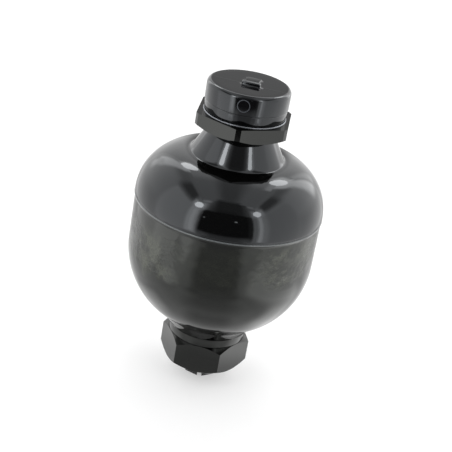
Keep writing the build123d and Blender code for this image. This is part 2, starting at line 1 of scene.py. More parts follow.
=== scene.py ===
from math import atan2, cos, hypot, radians, sin

import bpy
from mathutils import Matrix, Vector


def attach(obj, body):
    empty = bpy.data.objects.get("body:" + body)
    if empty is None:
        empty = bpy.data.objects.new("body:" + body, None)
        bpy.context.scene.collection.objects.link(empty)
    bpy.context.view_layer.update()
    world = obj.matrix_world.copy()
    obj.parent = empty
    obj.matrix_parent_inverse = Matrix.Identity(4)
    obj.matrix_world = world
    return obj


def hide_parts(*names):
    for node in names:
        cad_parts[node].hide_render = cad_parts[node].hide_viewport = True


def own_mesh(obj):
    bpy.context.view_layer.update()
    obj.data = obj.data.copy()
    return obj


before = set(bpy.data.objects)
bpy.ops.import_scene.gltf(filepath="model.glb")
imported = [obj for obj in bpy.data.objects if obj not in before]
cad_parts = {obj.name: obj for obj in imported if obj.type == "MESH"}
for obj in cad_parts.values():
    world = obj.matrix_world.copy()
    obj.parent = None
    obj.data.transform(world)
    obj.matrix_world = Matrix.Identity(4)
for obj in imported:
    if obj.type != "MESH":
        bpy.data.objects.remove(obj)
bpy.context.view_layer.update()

# ---- upper half of the vessel -----------------------------------------------------------
# A forged and turned steel dome with the gas neck drawn out of it, which screws into the
# lower half. Thick enamel rounds its edges. Each point of an outline is a radius and a
# height above the floor, in millimetres.
MM = 0.001


def deselect_all():
    """Leaves edit mode with nothing selected, so that an operator acts on its own piece."""
    if bpy.context.object and bpy.context.object.mode == "EDIT":
        bpy.ops.object.mode_set(mode="OBJECT")
    bpy.ops.object.select_all(action="DESELECT")


def arc(centre_r, centre_z, radius, start_deg, end_deg, steps):
    """Points of an arc in the outline, in millimetres, its start left out."""
    turn = (end_deg - start_deg) / steps
    return [
        (
            centre_r + radius * cos(radians(start_deg + turn * i)),
            centre_z + radius * sin(radians(start_deg + turn * i)),
        )
        for i in range(1, steps + 1)
    ]


def run(start, end, steps):
    """Evenly spaced points of a straight stretch, its start left out."""
    return [
        (start[0] + (end[0] - start[0]) * i / steps, start[1] + (end[1] - start[1]) * i / steps)
        for i in range(1, steps + 1)
    ]


def turned_piece(name, outline, sides):
    """Draws a circle out into rings along an outline of (radius, height) in millimetres.
    An outline that begins or ends on the axis is closed there, and any other returns to
    where it began."""
    deselect_all()
    on_axis = outline[0][0] == 0
    rings = outline[1:] if on_axis else outline
    radius, height = rings[0]
    bpy.ops.mesh.primitive_circle_add(
        vertices=sides,
        radius=radius * MM,
        fill_type="TRIFAN" if on_axis else "NOTHING",
        location=(0, 0, height * MM),
    )
    piece = bpy.context.object
    piece.name = piece.data.name = name
    bpy.ops.object.transform_apply(location=True, rotation=True, scale=True)
    bpy.ops.object.mode_set(mode="EDIT")
    bpy.ops.mesh.select_mode(type="EDGE")
    bpy.ops.mesh.select_all(action="SELECT")
    if on_axis:
        bpy.ops.mesh.region_to_loop()
    for ring in rings[1:]:
        bpy.ops.mesh.extrude_region_move(
            TRANSFORM_OT_translate={"value": (0, 0, (ring[1] - height) * MM)}
        )
        if ring[0] == 0:
            bpy.ops.mesh.merge(type="CENTER")
            break
        size = ring[0] / radius
        bpy.ops.transform.resize(value=(size, size, 1), center_override=(0, 0, ring[1] * MM))
        radius, height = ring
    bpy.ops.mesh.select_mode(type="VERT")
    bpy.ops.mesh.select_all(action="SELECT")
    bpy.ops.mesh.remove_doubles(threshold=0.002 * MM)
    bpy.ops.mesh.normals_make_consistent(inside=False)
    bpy.ops.object.mode_set(mode="OBJECT")
    return piece


def linear(hex_colour):
    """An sRGB hex colour as the linear values that a shader takes."""
    values = [int(hex_colour[i : i + 2], 16) / 255 for i in (1, 3, 5)]
    return [v / 12.92 if v <= 0.04045 else ((v + 0.055) / 1.055) ** 2.4 for v in values] + [1]


def add_node(material, kind, settings=None, links=None):
    """Adds a node with its settings, and joins its inputs to other nodes' outputs."""
    node = material.node_tree.nodes.new(kind)
    for name, value in (settings or {}).items():
        if name in node.inputs:
            node.inputs[name].default_value = value
        else:
            setattr(node, name, value)
    for name, source in (links or {}).items():
        material.node_tree.links.new(source, node.inputs[name])
    return node


def scale_for(apart):
    """The scale of a noise whose lumps are this far apart, in millimetres."""
    return 1 / (apart * MM)


def new_material(name, colour, roughness, metallic=0.0, ior=1.5):
    """A material of one colour and gloss, and its shader."""
    material = bpy.data.materials.new(name)
    material.use_nodes = True
    shader = material.node_tree.nodes["Principled BSDF"]
    shader.inputs["Base Color"].default_value = linear(colour)
    shader.inputs["Roughness"].default_value = roughness
    shader.inputs["Metallic"].default_value = metallic
    shader.inputs["IOR"].default_value = ior
    return material, shader


def finish_piece(piece, material, smooth_deg=30):
    """Gives a piece its material and soft shading, and fixes it to the vessel."""
    piece.data.materials.clear()
    piece.data.materials.append(material)
    deselect_all()
    piece.select_set(True)
    bpy.context.view_layer.objects.active = piece
    bpy.ops.object.shade_smooth_by_angle(angle=radians(smooth_deg))
    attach(piece, "vessel")


JOINT_Z = 123.5
DOME_R, DOME_Z, DOME_ROUND, DOME_WALL = 27, 124.3, 32, 8.5
ROOF_Z, GAS_BORE_R, GAS_FACE_Z = 147.8, 14.1, 174.0
INNER_R, SPIGOT_R, SPIGOT_Z, THREAD_R, THREAD_Z = 50.5, 52.1, 102.3, 54.4, 106.3
gas_neck_foot, gas_neck_head = (28.15, 157.75), (20.15, 172.3)

upper_outline = [(THREAD_R, JOINT_Z), (58.72, JOINT_Z), (58.72, 124.9)]
upper_outline += [(58.74, 125.0), (58.78, 125.12), (58.91, 125.28), (58.96, 125.5)]
upper_outline += arc(DOME_R, DOME_Z, DOME_ROUND, 2.2, 83.2, 56)
upper_outline += [(30.2, 156.16), (29.75, 156.24), (29.4, 156.38), (29.1, 156.6)]
upper_outline += [(28.85, 156.88), (28.5, 157.28), gas_neck_foot]
upper_outline += run(gas_neck_foot, gas_neck_head, 12)
upper_outline += [(19.9, 172.85), (19.6, 173.25), (19.2, 173.7), (18.8, GAS_FACE_Z)]
upper_outline += [(GAS_BORE_R, GAS_FACE_Z)]
upper_outline += run((GAS_BORE_R, GAS_FACE_Z), (GAS_BORE_R, ROOF_Z), 6) + [(DOME_R, ROOF_Z)]
upper_outline += arc(DOME_R, DOME_Z, DOME_ROUND - DOME_WALL, 90, 0, 16)
upper_outline += [(INNER_R, SPIGOT_Z), (SPIGOT_R, SPIGOT_Z), (SPIGOT_R, THREAD_Z)]
upper_outline += [(THREAD_R, THREAD_Z), (THREAD_R, JOINT_Z)]
upper_half = turned_piece("upper_half", upper_outline, 256)

# Gloss enamel, sprayed thick: a wet black shine that leans a little to blue. It has flowed
# into slow waves 14 mm apart, and its orange peel is 2.4 mm apart.
enamel, enamel_shader = new_material("black_gloss_enamel", "#040404", 0.06)
place = add_node(enamel, "ShaderNodeTexCoord").outputs["Object"]
runs = add_node(
    enamel,
    "ShaderNodeTexNoise",
    {"Scale": scale_for(14.286), "Detail": 2},
    {"Vector": place},
)
peel = add_node(
    enamel,
    "ShaderNodeTexNoise",
    {"Scale": scale_for(2.381), "Detail": 2},
    {"Vector": place},
)
waves = add_node(
    enamel,
    "ShaderNodeBump",
    {"Strength": 0.25, "Distance": 0.3 * MM},
    {"Height": runs.outputs["Fac"]},
)
skin = add_node(
    enamel,
    "ShaderNodeBump",
    {"Strength": 0.06, "Distance": 0.2 * MM},
    {"Height": peel.outputs["Fac"], "Normal": waves.outputs["Normal"]},
)
enamel.node_tree.links.new(skin.outputs["Normal"], enamel_shader.inputs["Normal"])
enamel_shader.inputs["Specular Tint"].default_value = linear("#f5faff")
finish_piece(upper_half, enamel)
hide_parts("upper_shell")

# ---- lower half of the vessel -----------------------------------------------------------
# A deep forged cup with a straight side, a smooth dished end and the oil neck, screwed onto
# the upper half. The lip of the joint is a thin rounded bead. The straight side keeps the
# forging's rough skin.
SIDE_R, SIDE_TOP_Z, SOCKET_R, LEDGE_Z = 58.6, 122.1, 54.45, 102.0
DISH_R, DISH_Z, DISH_ROUND, DISH_WALL = 7.4, 91.3, 51.2, 8.1
OIL_BORE_R, OIL_FACE_Z, OIL_SEAT_Z = 19.2, 37.3, 52.185
oil_neck_foot, oil_neck_head = (30.85, 43.8), (26.5, 37.95)

lower_outline = [(SOCKET_R, JOINT_Z), (58.15, JOINT_Z)]
lower_outline += arc(SIDE_R, 123.75, 0.5, 175, 10, 9)
lower_outline += [(59.02, JOINT_Z), (58.84, 123.1), (58.68, 122.6), (SIDE_R, SIDE_TOP_Z)]
lower_outline += run((SIDE_R, SIDE_TOP_Z), (SIDE_R, DISH_Z), 38)
lower_outline += arc(DISH_R, DISH_Z, DISH_ROUND, 0, -58.5, 40)
lower_outline += [(33.5, 47.15), (32.6, 46.15), (31.7, 45.0), oil_neck_foot]
lower_outline += run(oil_neck_foot, oil_neck_head, 5)
lower_outline += [(26.25, 37.6), (25.9, 37.4), (25.4, OIL_FACE_Z), (OIL_BORE_R, OIL_FACE_Z)]
lower_outline += [(OIL_BORE_R, OIL_SEAT_Z), (25.5, OIL_SEAT_Z)]
lower_outline += arc(DISH_R, DISH_Z, DISH_ROUND - DISH_WALL, -65.2, 0, 20)
lower_outline += [(INNER_R, LEDGE_Z), (SOCKET_R, LEDGE_Z), (SOCKET_R, JOINT_Z)]
lower_half = turned_piece("lower_half", lower_outline, 384)


def forging_skin(point):
    """How much of the rough skin there is at a point, 0 to 1. It fades out at its head and
    at its foot, which leans and wavers, and the bore has none."""
    radius, turn = hypot(point.x, point.y), atan2(point.y, point.x)
    if radius < 56 * MM:
        return 0
    foot = (89 + 90 * point.x + 2.5 * sin(5 * turn) + 1.5 * sin(11 * turn + 1)) * MM
    lower_fade = (point.z - foot) / (5 * MM)
    upper_fade = (120 * MM - point.z) / (4 * MM)
    return max(0, min(1, lower_fade, upper_fade))


skin_group = lower_half.vertex_groups.new(name="forging_skin")
for vertex in lower_half.data.vertices:
    skin_group.add([vertex.index], forging_skin(vertex.co), "REPLACE")
for size, depth in ((9, 0.12), (3.2, 0.04)):
    lumps = bpy.data.textures.new("forging_lumps", "CLOUDS")
    lumps.noise_scale = size * MM
    lumps.noise_depth = 1
    displace = lower_half.modifiers.new("skin", "DISPLACE")
    displace.texture = lumps
    displace.texture_coords = "LOCAL"
    displace.vertex_group = "forging_skin"
    displace.strength = depth * MM
    displace.mid_level = 0.5
    bpy.context.view_layer.objects.active = lower_half
    bpy.ops.object.modifier_apply(modifier="skin")

# The same enamel over the rough forging. In a band round the straight side it is thin and
# olive, over dents 5 mm apart, and scabs 12 mm across with a grain of 1 mm dull it. The
# front and the back of the band are smoother. The bead at the joint is painted grey along
# its top, a painted highlight.
forged, forged_shader = new_material("black_enamel_over_rough_forging", "#040404", 0.06)
place = add_node(forged, "ShaderNodeTexCoord").outputs["Object"]
axes = add_node(forged, "ShaderNodeSeparateXYZ", links={"Vector": place})
flattened = add_node(forged, "ShaderNodeVectorMath", {"operation": "MULTIPLY"}, {0: place})
flattened.inputs[1].default_value = (1, 1, 1.3)
patches = add_node(
    forged,
    "ShaderNodeTexNoise",
    {"Scale": scale_for(11.765), "Detail": 5, "Roughness": 0.62},
    {"Vector": flattened.outputs[0]},
)
dents = add_node(
    forged,
    "ShaderNodeTexNoise",
    {"Scale": scale_for(5.263), "Detail": 4, "Roughness": 0.55},
    {"Vector": place},
)
grains = add_node(
    forged,
    "ShaderNodeTexNoise",
    {"Scale": scale_for(1.1111), "Detail": 4, "Roughness": 0.6},
    {"Vector": place},
)
# where the band is: it leans to one side, and its edges are ragged
tilted = add_node(
    forged,
    "ShaderNodeMath",
    {"operation": "MULTIPLY_ADD"},
    {0: axes.outputs["X"], 2: axes.outputs["Z"]},
)
tilted.inputs[1].default_value = -0.09
ragged = add_node(
    forged,
    "ShaderNodeMath",
    {"operation": "MULTIPLY_ADD"},
    {0: patches.outputs["Fac"], 2: tilted.outputs[0]},
)
ragged.inputs[1].default_value = 22 * MM
band_foot = add_node(
    forged,
    "ShaderNodeMapRange",
    {"From Min": 98 * MM, "From Max": 106 * MM},
    {"Value": ragged.outputs[0]},
)
band_head = add_node(
    forged,
    "ShaderNodeMapRange",
    {"From Min": 132 * MM, "From Max": 127 * MM},
    {"Value": ragged.outputs[0]},
)
band = add_node(
    forged,
    "ShaderNodeMath",
    {"operation": "MULTIPLY"},
    {0: band_foot.outputs["Result"], 1: band_head.outputs["Result"]},
)
# where the scabs are: in the band, and mostly to its left and right
scabs = add_node(
    forged,
    "ShaderNodeMapRange",
    {"From Min": 0.46, "From Max": 0.60},
    {"Value": patches.outputs["Fac"]},
)
aside = add_node(forged, "ShaderNodeMath", {"operation": "ABSOLUTE"}, {0: axes.outputs["X"]})
unground = add_node(
    forged,
    "ShaderNodeMapRange",
    {"From Min": 20 * MM, "From Max": 34 * MM, "To Min": 0.12, "To Max": 0.9},
    {"Value": aside.outputs[0]},
)
rough_band = add_node(
    forged,
    "ShaderNodeMath",
    {"operation": "MULTIPLY"},
    {0: band.outputs[0], 1: unground.outputs["Result"]},
)
scabs_here = add_node(
    forged,
    "ShaderNodeMath",
    {"operation": "MULTIPLY"},
    {0: rough_band.outputs[0], 1: scabs.outputs["Result"]},
)
speckle = add_node(
    forged,
    "ShaderNodeMapRange",
    {"From Min": 0.35, "From Max": 0.65, "To Min": 0.55, "To Max": 1.0},
    {"Value": grains.outputs["Fac"]},
)
skin_here = add_node(
    forged,
    "ShaderNodeMath",
    {"operation": "MULTIPLY"},
    {0: scabs_here.outputs[0], 1: speckle.outputs["Result"]},
)
# what the band and the scabs do to the gloss, to the colour and to the relief
dulled = add_node(
    forged,
    "ShaderNodeMapRange",
    {"To Min": 0.05, "To Max": 0.06},
    {"Value": band.outputs[0]},
)
dull = add_node(
    forged,
    "ShaderNodeMath",
    {"operation": "MULTIPLY_ADD"},
    {0: skin_here.outputs[0], 2: dulled.outputs["Result"]},
)
dull.inputs[1].default_value = 0.16
film = add_node(forged, "ShaderNodeMix", {"data_type": "RGBA"}, {"Factor": band.outputs[0]})
film.inputs["A"].default_value = linear("#050505")
film.inputs["B"].default_value = linear("#0a0b08")
tint = add_node(
    forged,
    "ShaderNodeMix",
    {"data_type": "RGBA"},
    {"Factor": skin_here.outputs[0], "A": film.outputs["Result"]},
)
tint.inputs["B"].default_value = linear("#3a3c33")
# painted highlight: the top of the joint's bead is coloured grey in place of the light along it
bead_painted_highlight = add_node(
    forged,
    "ShaderNodeMapRange",
    {"From Min": 123.3 * MM, "From Max": 123.6 * MM},
    {"Value": axes.outputs["Z"]},
)
bead_highlight_mix = add_node(
    forged,
    "ShaderNodeMix",
    {"data_type": "RGBA"},
    {"Factor": bead_painted_highlight.outputs["Result"], "A": tint.outputs["Result"]},
)
bead_highlight_mix.inputs["B"].default_value = linear("#595c5e")
dented = add_node(forged, "ShaderNodeMath", {"operation": "MULTIPLY"}, {0: rough_band.outputs[0]})
dented.inputs[1].default_value = 0.9
dent_bump = add_node(
    forged,
    "ShaderNodeBump",
    {"Distance": 0.5 * MM},
    {"Height": dents.outputs["Fac"], "Strength": dented.outputs[0]},
)
pitted = add_node(forged, "ShaderNodeMath", {"operation": "MULTIPLY"}, {0: skin_here.outputs[0]})
pitted.inputs[1].default_value = 0.9
pits = add_node(
    forged,
    "ShaderNodeBump",
    {"Distance": 0.1 * MM},
    {
        "Height": grains.outputs["Fac"],
        "Strength": pitted.outputs[0],
        "Normal": dent_bump.outputs["Normal"],
    },
)
forged_shader.inputs["Specular Tint"].default_value = linear("#fbfffa")
forged.node_tree.links.new(dull.outputs[0], forged_shader.inputs["Roughness"])
forged.node_tree.links.new(bead_highlight_mix.outputs["Result"], forged_shader.inputs["Base Color"])
forged.node_tree.links.new(pits.outputs["Normal"], forged_shader.inputs["Normal"])
finish_piece(lower_half, forged)
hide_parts("lower_shell")


# ---- lock nut on the gas stem -----------------------------------------------------------
# A thin steel hexagon, 55 mm across its flats, screwed down the gas stem onto the neck. It
# is bevelled below and counterbored above for the cap's foot, and enamel rounds its edges.
def cut(piece, tool, operation):
    """Joins a tool to a piece, takes it away, or keeps what both share. The tool goes."""
    deselect_all()
    bpy.context.view_layer.objects.active = piece
    piece.select_set(True)
    joint = piece.modifiers.new("cut", "BOOLEAN")
    joint.operation = operation
    joint.solver = "EXACT"
    joint.object = tool
    bpy.ops.object.modifier_apply(modifier="cut")
    bpy.data.objects.remove(tool)


def hexagon(name, across_flats, low, high, turn_deg):
    """A hexagon bar between two heights, in millimetres, turned about the axis."""
    deselect_all()
    bpy.ops.mesh.primitive_cylinder_add(
        vertices=6,
        radius=across_flats / 2 / cos(radians(30)) * MM,
        depth=(high - low) * MM,
        location=(0, 0, (low + high) / 2 * MM),
        rotation=(0, 0, radians(turn_deg - 30)),
    )
    piece = bpy.context.object
    piece.name = piece.data.name = name
    bpy.ops.object.transform_apply(location=True, rotation=True, scale=True)
    return piece


def round_edges(piece, width, segments):
    """Rounds the piece's edges and keeps its flat faces flat."""
    deselect_all()
    bpy.context.view_layer.objects.active = piece
    piece.select_set(True)
    bevel = piece.modifiers.new("edges", "BEVEL")
    bevel.width = width * MM
    bevel.segments = segments
    bevel.limit_method = "ANGLE"
    bevel.angle_limit = radians(22)
    bpy.ops.object.modifier_apply(modifier="edges")
    bpy.ops.object.shade_smooth()
    weigh = piece.modifiers.new("flats", "WEIGHTED_NORMAL")
    weigh.weight = 100
    bpy.ops.object.modifier_apply(modifier="flats")


NUT_LOW, NUT_HIGH, NUT_BORE_R = 174, 183, 14.05
RECESS_R, RECESS_Z, RIM_R = 24.4, 179.8, 24.8

lock_nut = hexagon("lock_nut_painted", 55, NUT_LOW, NUT_HIGH, 27)
lock_blank = turned_piece(
    "lock_nut_blank",
    [(NUT_BORE_R, NUT_LOW), (27.5, NUT_LOW), (30.85, 175.93), (30.85, NUT_HIGH)]
    + [(RIM_R, NUT_HIGH), (RECESS_R, 182.6), (RECESS_R, RECESS_Z)]
    + [(NUT_BORE_R, RECESS_Z), (NUT_BORE_R, NUT_LOW)],
    144,
)
cut(lock_nut, lock_blank, "INTERSECT")
round_edges(lock_nut, 0.35, 2)

# The vessel's enamel on machined steel, which is as glossy but a more neutral black.
nut_enamel = enamel.copy()
nut_enamel.name = "black_enamel_on_machined_steel"
nut_enamel_shader = nut_enamel.node_tree.nodes["Principled BSDF"]
nut_enamel_shader.inputs["Specular Tint"].default_value = linear("#fcfffb")
finish_piece(lock_nut, nut_enamel)

# A thin grey steel bead with scratches 2 mm apart sits on the rim of the counterbore. Its
# grey is a painted highlight for the shine along the rim.
# painted highlight: the rim's bead is coloured grey to give the bright line round the counterbore
rim_highlight, rim_highlight_shader = new_material("grey_rim_painted_highlight", "#7c7f84", 0.35, metallic=0.6)
place = add_node(rim_highlight, "ShaderNodeTexCoord").outputs["Object"]
scratches = add_node(
    rim_highlight,
    "ShaderNodeTexNoise",
    {"Scale": scale_for(2), "Detail": 3},
    {"Vector": place},
)
rim_highlight_bump = add_node(
    rim_highlight,
    "ShaderNodeBump",
    {"Strength": 0.4, "Distance": 0.1 * MM},
    {"Height": scratches.outputs["Fac"]},
)
rim_highlight.node_tree.links.new(rim_highlight_bump.outputs["Normal"], rim_highlight_shader.inputs["Normal"])
deselect_all()
bpy.ops.mesh.primitive_torus_add(
    major_radius=RIM_R * MM,
    minor_radius=0.5 * MM,
    major_segments=144,
    minor_segments=12,
    location=(0, 0, NUT_HIGH * MM),
)
rim = bpy.context.object
rim.data.materials.append(rim_highlight)
bpy.ops.object.transform_apply(location=True, rotation=True, scale=True)
bpy.ops.object.shade_smooth()
lock_nut.select_set(True)
bpy.context.view_layer.objects.active = lock_nut
bpy.ops.object.join()
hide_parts("lock_nut")

# ---- protective cap ---------------------------------------------------------------------
# A black moulded cup that screws down over the gas valve. It has a rounded rim, a line
# round its side, and a lug with a low pad behind it on top.
CAP_TOP_Z, CAP_ROOF_Z, CAP_FOOT_Z = 202.0, 199.2, 180.1
CAP_R, CAP_INNER_R, CAP_FOOT_R, CAP_FOOT_INNER_R = 25.5, 22.9, 23.0, 20.4
SLEEVE_R, SLEEVE_BORE_R = 17.05, 14.05

cap_outline = [(0, CAP_TOP_Z)] + run((0, CAP_TOP_Z), (22.9, CAP_TOP_Z), 6) + [(23.3, 201.97)]
cap_outline += arc(22.583, CAP_ROOF_Z, 2.917, 70, 0, 10)
cap_outline += [(CAP_R, 190.4), (25.47, 190.22), (25.38, 190.12), (25.22, 190.08)]
cap_outline += [(25.14, 189.9), (25.1, 188.9), (24.83, 184.8), (24.72, 184.2), (24.45, 183.7)]
cap_outline += [(24.0, 183.35), (23.4, 183.12), (CAP_FOOT_R, 183.0), (CAP_FOOT_R, CAP_FOOT_Z)]
cap_outline += [(CAP_FOOT_INNER_R, CAP_FOOT_Z), (CAP_FOOT_INNER_R, 183.0), (22.0, 184.6)]
cap_outline += [(CAP_INNER_R, 190.1), (CAP_INNER_R, CAP_ROOF_Z), (SLEEVE_R, CAP_ROOF_Z)]
cap_outline += [(SLEEVE_R, CAP_FOOT_Z), (SLEEVE_BORE_R, CAP_FOOT_Z)]
cap_outline += [(SLEEVE_BORE_R, CAP_ROOF_Z), (0, CAP_ROOF_Z)]
cap = turned_piece("cap_moulding", cap_outline, 256)
LUG_TURN = radians(-11)


def lug_block(middle, size, tilt_deg, edge):
    """A block on the cap's top, given in the lug's own frame, with its edges rounded."""
    x = middle[0] * cos(LUG_TURN) - middle[1] * sin(LUG_TURN)
    y = middle[0] * sin(LUG_TURN) + middle[1] * cos(LUG_TURN)
    deselect_all()
    bpy.ops.mesh.primitive_cube_add(
        size=1,
        location=(x * MM, y * MM, middle[2] * MM),
        rotation=(radians(tilt_deg), 0, LUG_TURN),
        scale=(size[0] * MM, size[1] * MM, size[2] * MM),
    )
    block = bpy.context.object
    bpy.ops.object.transform_apply(location=True, rotation=True, scale=True)
    round_edges(block, edge, 4)
    return block


cut(cap, lug_block((1.6, -3.8, 202.65), (11.4, 3.3, 3.2), 7, 0.8), "UNION")
cut(cap, lug_block((0.6, 5.7, 201.7), (8.6, 8.6, 1.7), -1.5, 0.45), "UNION")

# Polished moulded plastic: black and glossy, sunk a little every 9 mm. The mould's parting
# line is a fine ridge across it. A pin of the mould has left a dull ring in front, and the
# ring's pale colour is a painted highlight on its edge.
MARK_TURN, MARK_Z, MARK_RING_R, MARK_LINE = radians(-93), 196.0, 3.6, 0.28

plastic, plastic_shader = new_material("black_moulded_plastic", "#060607", 0.09)
place = add_node(plastic, "ShaderNodeTexCoord").outputs["Object"]
axes = add_node(plastic, "ShaderNodeSeparateXYZ", links={"Vector": place})
sink = add_node(
    plastic,
    "ShaderNodeTexNoise",
    {"Scale": scale_for(9.091), "Detail": 2},
    {"Vector": place},
)
across_line = add_node(
    plastic,
    "ShaderNodeMath",
    {"operation": "MULTIPLY_ADD"},
    {0: axes.outputs["X"], 2: axes.outputs["Y"]},
)
across_line.inputs[1].default_value = 0.19
off_line = add_node(
    plastic, "ShaderNodeMath", {"operation": "ADD"}, {0: across_line.outputs[0]}
)
off_line.inputs[1].default_value = 3.1 * MM
beside = add_node(plastic, "ShaderNodeMath", {"operation": "ABSOLUTE"}, {0: off_line.outputs[0]})
ridge = add_node(
    plastic,
    "ShaderNodeMapRange",
    {"From Min": 0.0, "From Max": 0.6 * MM, "To Min": 1.0, "To Max": 0.0},
    {"Value": beside.outputs[0]},
)
uneven = add_node(
    plastic,
    "ShaderNodeBump",
    {"Strength": 0.1, "Distance": 0.3 * MM},
    {"Height": sink.outputs["Fac"]},
)
parting = add_node(
    plastic,
    "ShaderNodeBump",
    {"Strength": 0.35, "Distance": 0.12 * MM},
    {"Height": ridge.outputs["Result"], "Normal": uneven.outputs["Normal"]},
)
plastic.node_tree.links.new(parting.outputs["Normal"], plastic_shader.inputs["Normal"])
from_mark = add_node(plastic, "ShaderNodeVectorMath", {"operation": "DISTANCE"}, {0: place})
from_mark.inputs[1].default_value = (
    CAP_R * MM * cos(MARK_TURN),
    CAP_R * MM * sin(MARK_TURN),
    MARK_Z * MM,
)
on_ring = add_node(
    plastic,
    "ShaderNodeMath",
    {"operation": "COMPARE"},
    {0: from_mark.outputs["Value"]},
)
on_ring.inputs[1].default_value = MARK_RING_R * MM
on_ring.inputs[2].default_value = MARK_LINE * MM
# painted highlight: the ring of the pin mark is coloured pale in place of the light on its edge
ring_painted_highlight = add_node(
    plastic, "ShaderNodeMix", {"data_type": "RGBA"}, {"Factor": on_ring.outputs[0]}
)
ring_painted_highlight.inputs["A"].default_value = linear("#060607")
ring_painted_highlight.inputs["B"].default_value = linear("#33353a")
plastic.node_tree.links.new(ring_painted_highlight.outputs["Result"], plastic_shader.inputs["Base Color"])
ring_roughness = add_node(
    plastic,
    "ShaderNodeMapRange",
    {"To Min": 0.08, "To Max": 0.5},
    {"Value": on_ring.outputs[0]},
)
plastic.node_tree.links.new(ring_roughness.outputs["Result"], plastic_shader.inputs["Roughness"])
plastic_shader.inputs["Specular Tint"].default_value = linear("#f5faff")
finish_piece(cap, plastic)
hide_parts("protective_cap")

# ---- spacer ring under the oil neck -----------------------------------------------------
# A plain turned steel collar, clamped between the neck and the port nut. Its nose holds the
# seals up in the bore, and it is painted with the nut below it.
SPACER_R, SPACER_LOW, NOSE_R, NOSE_TOP_Z, PORT_R = 24.9, 31.3, 19.1, 44.98, 16.1

spacer_outline = [(PORT_R, SPACER_LOW), (24.3, SPACER_LOW), (24.7, 31.4), (24.87, 31.6)]
spacer_outline += [(SPACER_R, 31.9), (SPACER_R, 36.7), (24.87, 37.0), (24.7, 37.2)]
spacer_outline += [(24.3, OIL_FACE_Z), (NOSE_R, OIL_FACE_Z), (NOSE_R, NOSE_TOP_Z)]
spacer_outline += [(PORT_R, NOSE_TOP_Z), (PORT_R, SPACER_LOW)]
spacer = turned_piece("spacer_painted", spacer_outline, 192)
finish_piece(spacer, nut_enamel)
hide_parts("port_spacer")

# ---- port nut ---------------------------------------------------------------------------
# A deep steel hexagon, 50 mm across its flats and bevelled at both ends. It is screwed up
# the port body, clamps it in its neck, and has the lock nut's paint.
PORT_NUT_LOW, PORT_NUT_BORE_R = 12.1, 16.05

port_nut = hexagon("port_nut_painted", 50, PORT_NUT_LOW, SPACER_LOW, -6.2)
port_blank = turned_piece(
    "port_nut_blank",
    [(PORT_NUT_BORE_R, PORT_NUT_LOW), (25, PORT_NUT_LOW), (28.868, 15.015)]
    + [(28.868, 28.385), (25, SPACER_LOW), (PORT_NUT_BORE_R, SPACER_LOW)]
    + [(PORT_NUT_BORE_R, PORT_NUT_LOW)],
    144,
)
cut(port_nut, port_blank, "INTERSECT")
round_edges(port_nut, 0.35, 2)
finish_piece(port_nut, nut_enamel)
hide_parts("port_nut")

# ---- port plug --------------------------------------------------------------------------
# A moulded plastic plug that keeps dirt out of the port in transport. It has a hexagon with
# a slot across it, a flange, and a hollow shank that screws into the port.
PLUG_TURN_DEG, PLUG_BORE_R, PLUG_BORE_LOW = -86, 6.6, 6.5

plug = hexagon("plug_moulding", 19, 0, 9.6, PLUG_TURN_DEG)
round_edges(plug, 0.3, 2)
shank_outline = [(0, 9.3), (13.2, 9.3), (13.5, 9.6), (13.5, 10.9), (13.2, 11.2), (9.45, 11.2)]
shank_outline += [(9.45, 20.4), (8.65, 21.2), (0, 21.2)]
cut(plug, turned_piece("plug_shank", shank_outline, 96), "UNION")
bore_outline = [(0, PLUG_BORE_LOW), (PLUG_BORE_R, PLUG_BORE_LOW), (PLUG_BORE_R, 22), (0, 22)]
cut(plug, turned_piece("plug_bore", bore_outline, 64), "DIFFERENCE")
deselect_all()
bpy.ops.mesh.primitive_cube_add(
    size=1,
    location=(0, 0, 2.0 * MM),
    rotation=(0, 0, radians(PLUG_TURN_DEG)),
    scale=(27 * MM, 3 * MM, 5.0 * MM),
)
cut(plug, bpy.context.object, "DIFFERENCE")

# Plastic from a spark-eroded mould: a dark grey satin. Its grain is finer than the 0.7 mm
# that it is drawn at, so that it shows.
satin, satin_shader = new_material("satin_moulded_plastic", "#1b1b1c", 0.42)
place = add_node(satin, "ShaderNodeTexCoord").outputs["Object"]
grain = add_node(
    satin,
    "ShaderNodeTexNoise",
    {"Scale": scale_for(0.7143), "Detail": 3},
    {"Vector": place},
)
grained = add_node(
    satin,
    "ShaderNodeBump",
    {"Strength": 0.3, "Distance": 0.05 * MM},
    {"Height": grain.outputs["Fac"]},
)
satin.node_tree.links.new(grained.outputs["Normal"], satin_shader.inputs["Normal"])
finish_piece(plug, satin)
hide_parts("port_plug")


# ---- machined steel inside --------------------------------------------------------------
# The gas stem, the port body with its split ring, the poppet and its brake nut are turned
# from bright steel. The tool leaves rings round the axis, which catch the light. They are
# finer than the 0.2 mm that they are drawn at, so that they show.
def coat(names, material):
    """Gives a material to parts whose shape stays as it is."""
    for name in names:
        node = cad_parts[name]
        node.data.materials.clear()
        node.data.materials.append(material)


